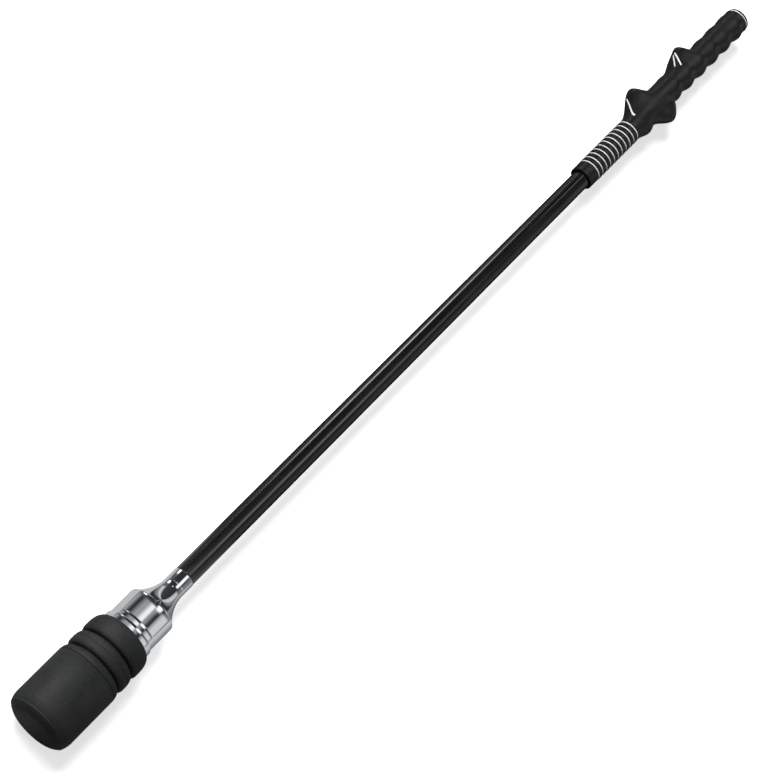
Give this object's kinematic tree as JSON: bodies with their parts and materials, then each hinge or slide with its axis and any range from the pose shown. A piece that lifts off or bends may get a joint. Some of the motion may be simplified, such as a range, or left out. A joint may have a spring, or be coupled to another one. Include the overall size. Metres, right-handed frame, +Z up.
{
  "type": "swing trainer stick",
  "caption": "Weighted golf warm-up stick: padded head that unscrews from a flared chrome housing, slim tapered shaft and a moulded training grip with thumb ledges and white rings.",
  "frame": {"origin": "centre of the head's flat end face, on the shaft's axis", "axes": "+X along the stick from the head to the grip, +Y towards the grip's thumb ledges, +Z up from the surface that the stick lies on"},
  "size_m": [0.8182, 0.049, 0.049],
  "materials": {
    "head_rubber": "matte, fine speckle, soft touch",
    "grip_rubber": "satin moulded rubber",
    "cap_rubber": "satin moulded rubber",
    "seal_rubber": "matte",
    "chrome": "polished plating",
    "shaft_paint": "gloss black",
    "raw_steel": "turned, uncoated",
    "zinc_steel": "zinc plated",
    "spring_steel": "dark oiled",
    "white_inlay": "satin white",
    "white_paint": "satin white fill",
    "tape": "woven double-sided tape"
  },
  "bodies": {
    "stick": {"bell_housing": "chrome", "socket_insert": "raw_steel", "shaft_spigot": "raw_steel", "shaft_tube": "shaft_paint", "grip_tape": "tape", "grip_sleeve": "grip_rubber", "ring_inlays": "white_inlay", "ledge_v_mark": "white_paint", "ledge_line_mark": "white_paint", "butt_ring": "white_inlay", "butt_cap": "cap_rubber"},
    "spacer": {"spacer_ring": "chrome", "spacer_seal": "seal_rubber"},
    "head": {"rubber_cover": "head_rubber", "weight_core": "raw_steel", "core_bolt": "zinc_steel", "core_washer": "zinc_steel", "lock_washer": "spring_steel", "jam_nut": "zinc_steel", "head_flange": "chrome"}
  },
  "joints": [
    {"name": "head_travel", "type": "slide", "parent": "stick", "child": "spacer", "axis": [-1, 0, 0], "range_m": [0, 0.012]},
    {"name": "head_turn", "type": "hinge", "parent": "spacer", "child": "head", "pos_m": [0, 0, 0], "axis": [-1, 0, 0], "range_deg": [0, 2160]}
  ],
  "couplings": [
    {"joint": "head_turn", "follows": "head_travel", "rad_per_m": 3141.6}
  ]
}
